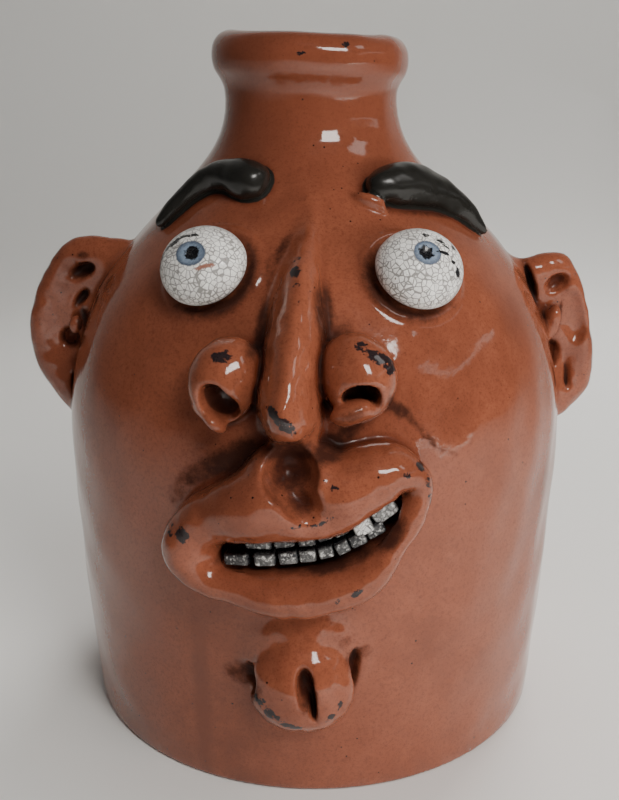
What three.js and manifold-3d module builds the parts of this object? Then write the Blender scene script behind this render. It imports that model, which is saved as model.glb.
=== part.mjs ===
// Face jug: a wheel-thrown, glazed red earthenware jug with an applied clay face.
// Millimetres, +Z up. The origin is the centre of the underside, and the face looks along -Y.
// A place on the wall is given by degrees round the jug (0 at the front, positive towards +X),
// the height on the outer wall, and the lift along the wall's outward normal.
import * as THREE from "three";
import { ParametricGeometry } from "three/addons/geometries/ParametricGeometry.js";
import { mergeVertices } from "three/addons/utils/BufferGeometryUtils.js";
import Module from "manifold-3d";

// Thrown vessel. The reaches are how far each curve runs on straight before it turns.
const jug = {
  height: 212.5,
  footRadius: 75,
  footBevel: 0.8,
  footSwell: 2.5,
  bellyRadius: 79.3,
  bellyHeight: 90,
  bellyReach: 28,
  shoulderReach: 70,
  neckRadius: 25.2,
  neckHeight: 191,
  neckReach: 30,
  lipRadius: 29.7,
  lipHeight: 205.5,
  lipReach: 4.8,
  lipRound: 4.4,
  mouthRadius: 19.8,
  mouthDepth: 10,
  mouthFlare: 4.6,
  wall: 7,
  floor: 9,
  floorRound: [4, 6],
  outerSides: 46,
  innerSides: 32,
};

// The neck leans: it starts to shift at this height, and its rim drops towards +X.
const lean = { from: 150, shift: -1.4, dropPerMm: 0.03 };

// Set pieces keep this gap to the clay that holds them.
const gap = 0.35;

// Eyeballs: half-sizes sideways, up, out of the wall and into it
const eyes = {
  left: { degrees: -29.3, height: 149.5 },
  right: { degrees: 26.6, height: 149 },
  lift: 3.4,
  side: 12.6,
  rise: 11.6,
  front: 9.6,
  back: 5.6,
};

// Brow coils: degrees, height and radius along each coil, from the nose outwards
const brows = {
  left: [[-21, 171.5, 5.2], [-34, 173.6, 5.6], [-50, 171, 5.2], [-60, 164, 4.6], [-63, 156, 3.4]],
  right: [[21, 169.5, 5], [34, 171.4, 6], [50, 170.4, 6], [62, 164, 5], [67, 153, 2]],
  lift: 2.2,
  blunt: 8,
};

// Nose: degrees, height, half width and rise along the ridge, from the brow down to the tip
const nose = [
  [-2.6, 171, 1.6, 1], [-3.4, 160, 4, 5], [-4.2, 146, 5.6, 10], [-4.8, 130, 7.6, 16], [-5.2, 110, 9, 22],
];
const noseForm = { start: 0.12, tip: 0.1, crestNarrow: 0.25, bury: 3 };

// Nostril wings: a pellet with a hole pushed into its lower side
const nostrils = {
  left: { degrees: -17.6, height: 124.5, turn: -0.25, hole: { degrees: -17, height: 118.5 } },
  right: { degrees: 8.4, height: 126.5, turn: 0.3, hole: { degrees: 8.2, height: 119.5 } },
  lift: 4.2,
  size: [10, 12.2, 10.2],
  holeLift: 13.5,
  holeSize: [5.4, 6, 7.5],
};

// Lip ring: degrees, height and half width round the mouth, clockwise from its left end
const lips = [
  [-23.2, 82.5, 9], [-20, 90, 7.6], [-13, 95.2, 7.6], [-4.5, 98, 8.8], [3, 100, 9], [9.5, 103.6, 8.6],
  [15.2, 104.4, 7], [18.7, 99.2, 4], [16.2, 91.8, 3.2], [12.6, 85.4, 3.2], [7.4, 76.8, 5], [-0.5, 72.6, 6.6],
  [-8.6, 72.6, 7], [-15.4, 74.4, 5.6], [-21.4, 76.8, 7.6],
];
const lipLift = 4.6;
const lipRise = (halfWidth) => 5.2 + 0.62 * halfWidth;

// Scoop below the nose, pressed into the upper lip: half-sizes sideways, up and out
const philtrum = { degrees: -4.6, height: 105, lift: 15.5, size: [8.4, 10, 9.4] };

// Mouth line between the two rows of teeth: degrees and height
const mouthLine = [[-17, 83.4], [-9, 83.8], [-1, 84.2], [5, 86], [10.4, 90.4], [15.6, 95.4]];
const teeth = {
  upper: { count: 7, from: 0.1, to: 0.92, offset: 2.7, tall: 4.8, share: 0.7 },
  lower: { count: 8, from: 0.08, to: 0.92, offset: -2.6, tall: 4.6, share: 0.79 },
  uneven: 0.05,
  front: 7.4,
  root: -1.6,
  round: 0.28,
};

// Chin: a pellet with an upright cleft
const chin = { degrees: -3, height: 37.5, lift: 2.6, size: [14.4, 12, 9.6] };
const cleft = { degrees: -0.9, height: 39.5, lift: 11.5, size: [2.7, 9.6, 6], turn: 0.12 };
const chinDents = [
  { degrees: -14.2, height: 43, lift: 1.4, size: [4, 4.4, 3.4] },
  { degrees: 8.6, height: 45, lift: 1.4, size: [3.6, 5, 3.2] },
];

// Ears: outline as distance from the axis and height, with the root inside the wall
const ear = {
  outline: [
    [56, 149], [66, 151.6], [76, 150], [85.5, 139], [92, 121],
    [92, 107.5], [86.5, 98.5], [78.5, 95.4], [70, 106], [60, 128],
  ],
  middle: [76, 124],
  plane: -3,
  sweepBack: 0.16,
  rim: 5.4,
  dish: 1.2,
  rimShare: [0.35, 0.8],
  back: 4.6,
  hollow: [82, 124],
  hollowSize: [5.2, 9, 16],
  ridge: [79, 122],
  ridgeSize: [2.6, 5, 11],
};

const finish = {
  clay: { color: 0x8a4229, roughness: 0.22, metalness: 0 },
  eye: { color: 0xcfcac4, roughness: 0.2, metalness: 0 },
  tooth: { color: 0x8d8a88, roughness: 0.25, metalness: 0 },
};

const wasm = await Module();
wasm.setup();
const radians = THREE.MathUtils.degToRad;
const { smoothstep, lerp } = THREE.MathUtils;

const bend = (...points) => new THREE.CubicBezierCurve(...points.map(([x, y]) => new THREE.Vector2(x, y)));

// Outer wall as two curves of radius and height: foot to belly, and belly over the shoulder to the neck
const belly = bend(
  [jug.footRadius, jug.footBevel],
  [jug.footRadius + jug.footSwell, jug.bellyHeight / 3],
  [jug.bellyRadius, jug.bellyHeight - jug.bellyReach],
  [jug.bellyRadius, jug.bellyHeight],
);
const shoulder = bend(
  [jug.bellyRadius, jug.bellyHeight],
  [jug.bellyRadius, jug.bellyHeight + jug.shoulderReach],
  [jug.neckRadius, jug.neckHeight - jug.neckReach],
  [jug.neckRadius, jug.neckHeight],
);

// Where a curve that only rises reaches a height, by halving
function parameterAt(curve, height) {
  let [low, high] = [0, 1];
  for (let i = 0; i < 30; i += 1) {
    const middle = (low + high) / 2;
    if (curve.getPoint(middle).y < height) low = middle;
    else high = middle;
  }
  return (low + high) / 2;
}

// Radius and outward normal of the outer wall at a height
function wallAt(height) {
  const curve = height < jug.bellyHeight ? belly : shoulder;
  const t = parameterAt(curve, height);
  const along = curve.getTangent(t);
  return { radius: curve.getPoint(t).x, out: new THREE.Vector2(along.y, -along.x) };
}

// Frame on the wall: origin at the lifted point, X round the jug, Y up the wall, Z out of it
function wallFrame(degrees, height, lift, turn = 0) {
  const { radius, out } = wallAt(height);
  const angle = radians(degrees);
  const round = new THREE.Vector3(Math.cos(angle), Math.sin(angle), 0);
  const forward = new THREE.Vector3(Math.sin(angle), -Math.cos(angle), 0);
  const normal = forward.clone().multiplyScalar(out.x).setZ(out.y);
  const up = new THREE.Vector3().crossVectors(normal, round);
  const origin = forward.multiplyScalar(radius).setZ(height).addScaledVector(normal, lift);
  return new THREE.Matrix4()
    .makeBasis(round, up, normal)
    .setPosition(origin)
    .multiply(new THREE.Matrix4().makeRotationZ(turn));
}

// Closed geometry as a solid that faces outwards, with the empty triangles at poles left out
function solidOf(geometry) {
  const bare = new THREE.BufferGeometry().setAttribute("position", geometry.getAttribute("position"));
  bare.setIndex(geometry.index);
  const merged = mergeVertices(bare, 1e-4);
  const corners = [...merged.index.array];
  const build = (order) => {
    const triVerts = [];
    for (let i = 0; i < corners.length; i += 3) {
      const tri = order.map((k) => corners[i + k]);
      if (new Set(tri).size === 3) triVerts.push(...tri);
    }
    return new wasm.Manifold(
      new wasm.Mesh({
        numProp: 3,
        vertProperties: merged.attributes.position.array,
        triVerts: new Uint32Array(triVerts),
      }),
    );
  };
  const solid = build([0, 1, 2]);
  return solid.volume() > 0 ? solid : build([0, 2, 1]);
}

function geometryOf(solid) {
  const { vertProperties, triVerts } = solid.getMesh();
  const geometry = new THREE.BufferGeometry();
  geometry.setAttribute("position", new THREE.BufferAttribute(vertProperties, 3));
  geometry.setIndex(new THREE.BufferAttribute(triVerts, 1));
  return geometry;
}

// Turns a profile of radius and height round the axis, then leans the neck as the potter's hand left it.
function thrown(profile, sides) {
  const points = profile.map((point) => (point.isVector2 ? point : new THREE.Vector2(...point)));
  const geometry = new THREE.LatheGeometry(points, sides).rotateX(Math.PI / 2);
  const place = geometry.getAttribute("position");
  for (let i = 0; i < place.count; i += 1) {
    const share = smoothstep(place.getZ(i), lean.from, jug.lipHeight);
    place.setZ(i, place.getZ(i) - share * lean.dropPerMm * place.getX(i));
    place.setX(i, place.getX(i) + share * lean.shift);
  }
  return solidOf(geometry);
}

// Outside of the vessel as one filled form, from the underside up to the rounded lip
function vessel() {
  const flare = bend(
    [jug.neckRadius, jug.neckHeight],
    [jug.neckRadius, jug.neckHeight + jug.lipReach],
    [jug.lipRadius, jug.lipHeight - jug.lipReach],
    [jug.lipRadius, jug.lipHeight],
  );
  const lip = bend(
    [jug.lipRadius, jug.lipHeight],
    [jug.lipRadius, jug.lipHeight + jug.lipReach],
    [jug.lipRadius - jug.lipRound / 2, jug.height],
    [jug.lipRadius - jug.lipRound, jug.height],
  );
  const profile = [
    [0, 0],
    [jug.footRadius - jug.footBevel, 0],
    ...belly.getPoints(4),
    ...shoulder.getPoints(11).slice(1),
    ...flare.getPoints(3).slice(1),
    ...lip.getPoints(3).slice(1),
    [0, jug.height],
  ];
  return thrown(profile, jug.outerSides);
}

// Inside of the vessel: the outer wall set in by its thickness, the neck's bore and a flared mouth
function cavity() {
  const inset = (curve, count) =>
    curve.getPoints(count).map((point, i) => {
      const along = curve.getTangent(i / count);
      return new THREE.Vector2(point.x - jug.wall * along.y, point.y + jug.wall * along.x);
    });
  const [floorInset, floorRise] = jug.floorRound;
  const top = jug.height + 1;
  const mouth = bend(
    [jug.mouthRadius, jug.height - jug.mouthDepth],
    [jug.mouthRadius, jug.height - jug.lipRound / 2],
    [jug.mouthRadius + jug.mouthFlare / 2, jug.height],
    [jug.mouthRadius + jug.mouthFlare, top],
  );
  const profile = [
    [0, jug.floor],
    [jug.footRadius - jug.wall - floorInset, jug.floor],
    ...inset(belly, 4).filter((point) => point.y > jug.floor + floorRise),
    ...inset(shoulder, 8).slice(1),
    ...mouth.getPoints(3),
    [0, top],
  ];
  return thrown(profile, jug.innerSides);
}

// Rounded lump on the wall: a sphere with its own half-sizes round, up and out
function lump({ degrees, height, lift, size, turn = 0 }, columns = 14, rows = 10) {
  const ball = new THREE.SphereGeometry(1, columns, rows);
  ball.scale(...size).applyMatrix4(wallFrame(degrees, height, lift, turn));
  return solidOf(ball);
}

// A section carried along a path of places on the wall. The section gives an offset sideways and outwards
// from the sizes at that place, the angle round it and the share of the path.
function swept(places, section, closed, steps, sides) {
  const curve = (points) =>
    new THREE.CatmullRomCurve3(points.map(([x, y]) => new THREE.Vector3(x, y, 0)), closed);
  const path = curve(places);
  const sizes = curve(places.map(([, , wide = 0, rise = 0]) => [wide, rise]));
  const onWall = (t) => {
    const { x, y } = path.getPoint(closed ? (t + 1) % 1 : THREE.MathUtils.clamp(t, 0, 1));
    return wallFrame(x, y, 0);
  };
  const place = (t) => new THREE.Vector3().setFromMatrixPosition(onWall(t));
  const step = 0.004;
  const surface = (u, v, target) => {
    const frame = onWall(u);
    const out = new THREE.Vector3().setFromMatrixColumn(frame, 2);
    const along = place(u + step).sub(place(u - step));
    const side = new THREE.Vector3().crossVectors(out, along).normalize();
    const size = sizes.getPoint(closed ? u % 1 : u);
    const offset = section(size, v * 2 * Math.PI, u);
    target.setFromMatrixPosition(frame).addScaledVector(side, offset.x).addScaledVector(out, offset.y);
  };
  return solidOf(new ParametricGeometry(surface, steps, sides));
}

// Round coil that closes to a point at both ends
function browCoil(places) {
  const section = (size, angle, u) => {
    const end = Math.sqrt(1 - (2 * u - 1) ** brows.blunt);
    return { x: size.x * end * Math.cos(angle), y: brows.lift + size.x * end * Math.sin(angle) };
  };
  return swept(places, section, false, 12, 8);
}

// Ridge with a round crest that widens and rises towards the tip; its underside is buried in the wall.
function noseRidge() {
  const section = (size, angle, u) => {
    const start = Math.min(1, u / noseForm.start);
    const tip = Math.max(0, (u - 1 + noseForm.tip) / noseForm.tip);
    const end = Math.min(start, Math.sqrt(1 - tip ** 2));
    const rise = Math.max(0, Math.sin(angle));
    const width = size.x * end * Math.cos(angle) * (1 - noseForm.crestNarrow * rise);
    return { x: width, y: rise > 0 ? size.y * end * rise : -noseForm.bury * end };
  };
  return swept(nose, section, false, 14, 12);
}

function lipRing() {
  const section = (size, angle) => ({
    x: size.x * Math.cos(angle),
    y: lipLift + lipRise(size.x) * Math.sin(angle),
  });
  return swept(lips, section, true, 36, 9);
}

// Ear: a dished pad with a rolled rim, its outline filled from the middle out on the front and on the back
function earPad(hand) {
  const outline = new THREE.CatmullRomCurve3(
    ear.outline.map(([out, height]) => new THREE.Vector3(out, height, 0)),
    true,
  );
  const surface = (u, v, target) => {
    const reach = Math.sin(v * Math.PI);
    const edge = outline.getPoint(u % 1);
    const out = lerp(ear.middle[0], edge.x, reach);
    const height = lerp(ear.middle[1], edge.y, reach);
    const front = ear.dish + (ear.rim - ear.dish) * smoothstep(reach, ...ear.rimShare);
    const depth = v < 0.5 ? front * Math.sqrt(1 - reach ** 6) : -ear.back * Math.sqrt(1 - reach ** 2);
    target.set(hand * out, ear.plane - depth + (out - ear.middle[0]) * ear.sweepBack, height);
  };
  return solidOf(new ParametricGeometry(surface, 18, 10));
}

// Ball placed on an ear, at a distance from the axis and a height
function earBall(hand, [out, height], [wide, deep, tall]) {
  const ball = new THREE.SphereGeometry(1, 10, 8).scale(wide, deep, tall);
  ball.translate(hand * out, ear.plane - ear.rim + (out - ear.middle[0]) * ear.sweepBack, height);
  return solidOf(ball);
}

function earSolid(hand) {
  return earPad(hand)
    .subtract(earBall(hand, ear.hollow, ear.hollowSize))
    .add(earBall(hand, ear.ridge, ear.ridgeSize));
}

// Eyeball: a dome in front and a flatter dome in the socket; grown makes the socket that holds it.
function eyeball({ degrees, height }, grown = 0) {
  const ball = new THREE.SphereGeometry(1, 16, 10).rotateX(Math.PI / 2);
  const place = ball.getAttribute("position");
  for (let i = 0; i < place.count; i += 1) {
    const depth = place.getZ(i) > 0 ? eyes.front : eyes.back;
    place.setXYZ(
      i,
      place.getX(i) * (eyes.side + grown),
      place.getY(i) * (eyes.rise + grown),
      place.getZ(i) * (depth + grown),
    );
  }
  return solidOf(ball.applyMatrix4(wallFrame(degrees, height, eyes.lift)));
}

const mouthCurve = new THREE.CatmullRomCurve3(
  mouthLine.map(([degrees, height]) => new THREE.Vector3(degrees, height, 0)),
);

// Groove behind the lips that holds both rows of teeth, clear of them by the gap
function toothGroove() {
  const above = teeth.upper.offset + teeth.upper.tall / 2 + gap;
  const below = teeth.lower.offset - teeth.lower.tall / 2 - gap;
  const section = (size, angle, u) => {
    const end = u > 0 && u < 1 ? Math.SQRT2 : 0;
    const corner = angle + Math.PI / 4;
    const [x, y] = [end * Math.cos(corner), end * Math.sin(corner)];
    return {
      x: (above + below) / 2 + (x * (above - below)) / 2,
      y: (teeth.front + teeth.root) / 2 + y * ((teeth.front - teeth.root) / 2 + gap),
    };
  };
  return swept(mouthLine, section, false, 16, 4);
}

// Tooth: an upright block with rounded front corners, set across the mouth line, no two alike
function tooth(row, index) {
  const pitch = (row.to - row.from) / row.count;
  const along = (share) => mouthCurve.getPoint(row.from + (index + share) * pitch);
  const [start, middle, end] = [0, 0.5, 1].map(along);
  const place = ({ x, y }) => new THREE.Vector3().setFromMatrixPosition(wallFrame(x, y, teeth.front));
  const across = place(end).sub(place(start));
  const slope = Math.atan2(across.z, Math.hypot(across.x, across.y));
  const sway = teeth.uneven * Math.sin(5 * index + row.offset);
  const half = (across.length() * (row.share + sway)) / 2;
  const corner = half * 2 * teeth.round;
  const deep = teeth.front - teeth.root;
  const outline = new THREE.Shape();
  outline.moveTo(-half, 0).lineTo(half, 0).lineTo(half, deep - corner);
  outline.absarc(half - corner, deep - corner, corner, 0, Math.PI / 2);
  outline.lineTo(corner - half, deep).absarc(corner - half, deep - corner, corner, Math.PI / 2, Math.PI);
  const block = new THREE.ExtrudeGeometry(outline, {
    depth: row.tall,
    bevelEnabled: false,
    curveSegments: 2,
  });
  // Half a turn about the slant brings the outline's Y out of the wall and the extrusion up it.
  block.applyMatrix4(new THREE.Matrix4().set(-1, 0, 0, 0, 0, 0, 1, 0, 0, 1, 0, 0, 0, 0, 0, 1));
  block.translate(0, row.offset - row.tall / 2, teeth.root);
  return solidOf(block.applyMatrix4(wallFrame(middle.x, middle.y, 0, slope)));
}

// All the clay as one fired piece: the vessel and its applied features, less what was pressed into them
function clayJug() {
  const wings = [nostrils.left, nostrils.right];
  const added = [
    browCoil(brows.left),
    browCoil(brows.right),
    noseRidge(),
    lipRing(),
    lump(chin),
    earSolid(-1),
    earSolid(1),
    ...wings.map((wing) => lump({ ...wing, lift: nostrils.lift, size: nostrils.size })),
  ];
  const removed = [
    eyeball(eyes.left, gap),
    eyeball(eyes.right, gap),
    lump(philtrum, 12, 10),
    lump(cleft, 10, 8),
    ...chinDents.map((dent) => lump(dent, 8, 6)),
    ...wings.map(({ hole, turn }) =>
      lump({ ...hole, turn, lift: nostrils.holeLift, size: nostrils.holeSize }, 10, 8),
    ),
    toothGroove(),
    cavity(),
  ];
  const filled = added.reduce((all, piece) => all.add(piece), vessel());
  return removed.reduce((all, piece) => all.subtract(piece), filled);
}

function named(name, solid, look) {
  const mesh = new THREE.Mesh(geometryOf(solid), new THREE.MeshStandardMaterial(look));
  mesh.name = name;
  return mesh;
}

const faceJug = new THREE.Group();
faceJug.add(
  named("jug_body", clayJug(), finish.clay),
  named("eye_left", eyeball(eyes.left), finish.eye),
  named("eye_right", eyeball(eyes.right), finish.eye),
);
for (const name of ["upper", "lower"]) {
  const row = teeth[name];
  for (let i = 0; i < row.count; i += 1) {
    faceJug.add(named(`tooth_${name}_${i + 1}`, tooth(row, i), finish.tooth));
  }
}

export default faceJug;
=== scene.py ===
import math

import bmesh
import bpy
import numpy as np
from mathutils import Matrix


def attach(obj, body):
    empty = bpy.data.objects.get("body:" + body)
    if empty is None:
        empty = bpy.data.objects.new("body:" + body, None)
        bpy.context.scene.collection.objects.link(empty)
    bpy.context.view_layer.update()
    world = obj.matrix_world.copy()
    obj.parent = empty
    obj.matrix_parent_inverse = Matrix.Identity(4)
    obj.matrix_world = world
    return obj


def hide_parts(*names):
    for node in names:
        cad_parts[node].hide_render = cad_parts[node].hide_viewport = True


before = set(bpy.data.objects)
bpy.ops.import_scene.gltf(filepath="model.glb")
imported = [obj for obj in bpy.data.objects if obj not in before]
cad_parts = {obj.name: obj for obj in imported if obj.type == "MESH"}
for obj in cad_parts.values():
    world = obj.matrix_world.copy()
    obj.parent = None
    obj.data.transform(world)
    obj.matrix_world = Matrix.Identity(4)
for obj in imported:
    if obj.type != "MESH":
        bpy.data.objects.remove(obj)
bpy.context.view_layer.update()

import openvdb as vdb
from mathutils import Vector

# Face jug. Shapes are worked out in millimetres in the frame of the solids and go into the meshes in metres.
# A place on the wall is degrees round the jug (0 in front, positive to the right), a height and a lift.
mm = 0.001
tiny = 1e-9
poleGap = 1e-7
print("frame loaded:", len(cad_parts), "nodes")

# Places on the profile are radius and height
jug = {
    "height": 212.5, "foot": (75.0, 0.8), "footSwell": 2.5,
    "belly": (79.3, 90.0), "bellyReach": 28.0, "shoulderReach": 70.0,
    "neck": (26.3, 194.0), "neckReach": 33.0, "bandReach": 6.2,
    "lip": (29.7, 205.5), "lipReach": 4.8, "lipRound": 6.0,
    "mouthRadius": 19.8, "mouthDepth": 10.0, "mouthFlare": 3.4, "mouthPull": 1.0, "mouthSpill": (2.0, 4.0),
    "wall": 7.0, "floor": 9.0, "floorRound": 5.0, "floorPull": 1.0, "sides": 720,
    "leanFrom": 150.0, "leanShift": -1.4, "leanDrop": 0.03, "skinFillet": 0.01, "boreFillet": 0.8,
    # throwing rings on the neck
    "ringDepth": 0.03, "ringPitch": 3.4, "ringFrom": (160, 178), "ringTo": (212, 205),
}
foot, belly, neck, lip = (np.array(jug[name]) for name in ("foot", "belly", "neck", "lip"))


# Share of the way from low to high, eased at both ends
def smoothStep(value, low, high):
    share = np.clip((value - low) / (high - low), 0, 1)
    return share * share * (3 - 2 * share)


# Two parts of a place, turned by an angle in their plane
def turned(a, b, angle):
    return math.cos(angle) * a - math.sin(angle) * b, math.sin(angle) * a + math.cos(angle) * b


# Cubic curve through its two ends, drawn towards its two middle points
def bend(start, towards, away, end, count):
    t = np.linspace(0, 1, count)[:, None]
    ends = (1 - t) ** 3 * np.array(start) + t ** 3 * np.array(end)
    return ends + 3 * (1 - t) ** 2 * t * np.array(towards) + 3 * (1 - t) * t ** 2 * np.array(away)


# Smooth curve through a list of places: each stretch is the cubic whose slopes come from the neighbours
def spline(places, count, closed=False):
    places = np.array(places, float)
    last = len(places) if closed else len(places) - 1
    share = np.linspace(0, last, count, endpoint=not closed)
    index = np.minimum(share.astype(int), last - 1)
    t = (share - index)[:, None]
    wrap = (lambda i: i % len(places)) if closed else (lambda i: np.clip(i, 0, len(places) - 1))
    before, here, there, after = (places[wrap(index + k)] for k in (-1, 0, 1, 2))
    slopeHere = (there - before) / 2
    slopeThere = (after - here) / 2
    rise = there - here
    bow = 3 * rise - 2 * slopeHere - slopeThere
    return here + t * (slopeHere + t * (bow + t * (slopeHere + slopeThere - 2 * rise)))


bellyCurve = bend(foot, (foot[0] + jug["footSwell"], belly[1] / 3),
                  belly - (0, jug["bellyReach"]), belly, count=60)
shoulderCurve = bend(belly, belly + (0, jug["shoulderReach"]), neck - (0, jug["neckReach"]), neck, count=160)
wallCurve = np.vstack([bellyCurve, shoulderCurve[1:]])
wallAlong = np.gradient(wallCurve, axis=0)
wallAlong /= np.linalg.norm(wallAlong, axis=1)[:, None]


# Point on the outer wall and the axes there: round the jug, up the wall and out of it
def onWall(degrees, height, lift=0.0):
    degrees, height, lift = np.broadcast_arrays(*(np.asarray(v, float) for v in (degrees, height, lift)))
    radius = np.interp(height, wallCurve[:, 1], wallCurve[:, 0])
    outFlat = np.interp(height, wallCurve[:, 1], wallAlong[:, 1])
    outUp = np.interp(height, wallCurve[:, 1], -wallAlong[:, 0])
    angle = np.radians(degrees)
    sin, cos, none = np.sin(angle), np.cos(angle), np.zeros_like(angle)
    out = np.stack([sin * outFlat, -cos * outFlat, outUp], -1)
    around = np.stack([cos, sin, none], -1)
    up = np.cross(out, around)
    point = np.stack([radius * sin, -radius * cos, height], -1) + out * lift[..., None]
    return point, around, up, out


# Points at the given ways round, up and out from a spot on the wall
def offSpot(spot, x, y, z):
    point, around, up, out = spot
    return point + x[..., None] * around + y[..., None] * up + z[..., None] * out


# The other way about: how far points lie round, up and out from a spot on the wall
def partsAt(spot, points):
    offset = points - spot[0]
    return [offset @ axis for axis in spot[1:]]


# Leans the neck: the higher, the more it shifts to the left and drops to the right
def leaned(points):
    share = smoothStep(points[..., 2], jug["leanFrom"], lip[1])
    points[..., 2] -= share * jug["leanDrop"] * points[..., 0]
    points[..., 0] += share * jug["leanShift"]
    return points


# Profile of radius and height carried once round the axis
def thrown(profile):
    angle = np.linspace(0, 2 * np.pi, jug["sides"], endpoint=False)
    radius, height = profile[:, :1], profile[:, 1:]
    grid = np.stack([radius * np.cos(angle), radius * np.sin(angle), height + 0 * angle], -1)
    return leaned(grid)


# Outside of the vessel as one filled form: foot, wall, flared neck and rounded lip, with rings on the neck
def vesselSkin():
    band, height = (0, jug["bandReach"]), jug["height"]
    flare = bend(neck, neck + band, lip - band, lip, count=24)
    edge = bend(lip, lip + (0, jug["lipReach"]), (lip[0] - jug["lipRound"] / 2, height),
                (lip[0] - jug["lipRound"], height), count=20)
    profile = np.vstack([[(0, 0), (foot[0] - foot[1], 0)], wallCurve, flare[1:], edge[1:], [(0, height)]])
    up = profile[:, 1]
    ringed = smoothStep(up, *jug["ringFrom"]) * smoothStep(up, *jug["ringTo"])
    profile[:, 0] += ringed * jug["ringDepth"] * np.sin(up * 2 * np.pi / jug["ringPitch"])
    return thrown(profile)


# Inside of the vessel: the wall set in by its thickness, the neck's bore and its flared mouth
def cavitySkin():
    inner = wallCurve + jug["wall"] * np.stack([-wallAlong[:, 1], wallAlong[:, 0]], -1)
    inner = inner[inner[:, 1] > jug["floor"] + jug["floorRound"]]
    side, floor, pull = inner[0, 0], jug["floor"], jug["floorPull"]
    corner = bend((side - jug["floorRound"], floor), (side - pull, floor),
                  (side, floor + pull), inner[0], count=8)
    bore, height, wide = jug["mouthRadius"], jug["height"], jug["mouthFlare"]
    spill, above = jug["mouthSpill"]
    flare = bend((bore, height - jug["mouthDepth"]), (bore, height - jug["lipRound"]),
                 (bore + wide / 2, height - jug["mouthPull"]),
                 (bore + wide + spill, height + above), count=12)
    return thrown(np.vstack([[(0, floor)], corner[:-1], inner, flare, [(0, height + above)]]))


# Ball of radius one as a grid: rows from pole to pole, columns round it
def ballGrid(rows=48, columns=72):
    v = np.linspace(0, np.pi, rows)[:, None]
    u = np.linspace(0, 2 * np.pi, columns, endpoint=False)
    return np.sin(v) * np.cos(u), np.sin(v) * np.sin(u), np.cos(v) + 0 * u


# Rounded lump on the wall: a ball with its own half-sizes round, up and out,
# turned about the way out and then tipped so that its front looks down
def lump(degrees, height, lift, size, turn=0.0, tip=0.0):
    x, y, z = (half * part for half, part in zip(size, ballGrid()))
    x, y = turned(x, y, turn)
    y, z = turned(y, z, tip)
    return offSpot(onWall(degrees, height, lift), x, y, z)


# Section carried along a path of places on the wall. The section gives its offsets sideways and outwards
# from the sizes at each place, the angle round it and the share of the path.
def swept(places, section, steps, sides=48, closed=False):
    path = spline(places, steps, closed)
    centre, _, _, out = onWall(path[:, 0], path[:, 1])
    along = np.roll(centre, -1, 0) - np.roll(centre, 1, 0) if closed else np.gradient(centre, axis=0)
    side = np.cross(out, along)
    side /= np.linalg.norm(side, axis=1)[:, None]
    angle = np.linspace(0, 2 * np.pi, sides, endpoint=False)
    share = np.linspace(0, 1, steps, endpoint=not closed)[:, None]
    x, y = section(path[:, 2:].T[..., None], angle, share)
    return centre[:, None] + side[:, None] * x[..., None] + out[:, None] * y[..., None]


# Four-sided faces of a grid that is closed round its columns, and round its rows too where it is a ring
def gridFaces(rows, columns, ring=False):
    row = np.arange(rows if ring else rows - 1)[:, None]
    column = np.arange(columns)
    nextRow, nextColumn = (row + 1) % rows, (column + 1) % columns
    corners = (row * columns + column, row * columns + nextColumn,
               nextRow * columns + nextColumn, nextRow * columns + column)
    return np.stack(np.broadcast_arrays(*corners), -1).reshape(-1, 4)


# The clay is worked in a block of small cells that hold the distance to its surface: negative inside.
clay = {"cell": 0.8, "low": (-97.6, -105.6, -4.0), "high": (97.6, 88.0, 220.0), "band": 9, "skin": 0.4}
firstCell = np.round(np.array(clay["low"]) / clay["cell"]).astype(int)
cellCount = np.round((np.array(clay["high"]) - np.array(clay["low"])) / clay["cell"]).astype(int)
farOff = clay["cell"] * clay["band"]
cellGrid = vdb.createLinearTransform(voxelSize=clay["cell"])


# Distance to a closed skin, in the part of the block that lies near it
def nearField(skin, ring=False):
    rows, columns = skin.shape[:2]
    points = skin.reshape(-1, 3)
    low = np.maximum(np.floor(points.min(0) / clay["cell"]).astype(int) - clay["band"], firstCell)
    high = np.minimum(np.ceil(points.max(0) / clay["cell"]).astype(int) + clay["band"], firstCell + cellCount)
    volume = vdb.FloatGrid.createLevelSetFromPolygons(
        points.astype(np.float32), quads=gridFaces(rows, columns, ring).astype(np.uint32),
        transform=cellGrid, halfWidth=clay["band"])
    field = np.empty(high - low, np.float32)
    volume.copyToArray(field, ijk=tuple(int(i) for i in low))
    place = tuple(slice(a, b) for a, b in zip(low - firstCell, high - firstCell))
    return field, place


# The nearer of two surfaces, with a fillet of about this size where they meet
def softUnion(a, b, fillet):
    near = np.maximum(fillet - np.abs(a - b), 0) / fillet
    return np.minimum(a, b) - near * near * fillet / 4


# Adds the form inside a skin to the clay, with a fillet where they meet
def stickOn(body, skin, fillet, ring=False):
    field, place = nearField(skin, ring)
    body[place] = softUnion(body[place], field, fillet)
    return field, place


# Takes the form inside a skin out of the clay, with a fillet at the edge
def pressOut(body, skin, fillet):
    field, place = nearField(skin)
    body[place] = -softUnion(-body[place], field, fillet)
    return field, place


# Value of a field at points, by straight shares between the eight cells round each
def sampled(field, points, outside):
    spot = points / clay["cell"] - firstCell
    index = np.clip(spot.astype(int), 0, np.array(field.shape) - 2)
    share = spot - index
    value = np.zeros(len(points))
    for corner in np.ndindex(2, 2, 2):
        weight = np.prod(np.where(corner, share, 1 - share), axis=1)
        value += weight * field[tuple((index + corner).T)]
    inside = np.all((spot >= 0) & (spot <= np.array(field.shape) - 1), axis=1)
    return np.where(inside, value, outside)


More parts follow.
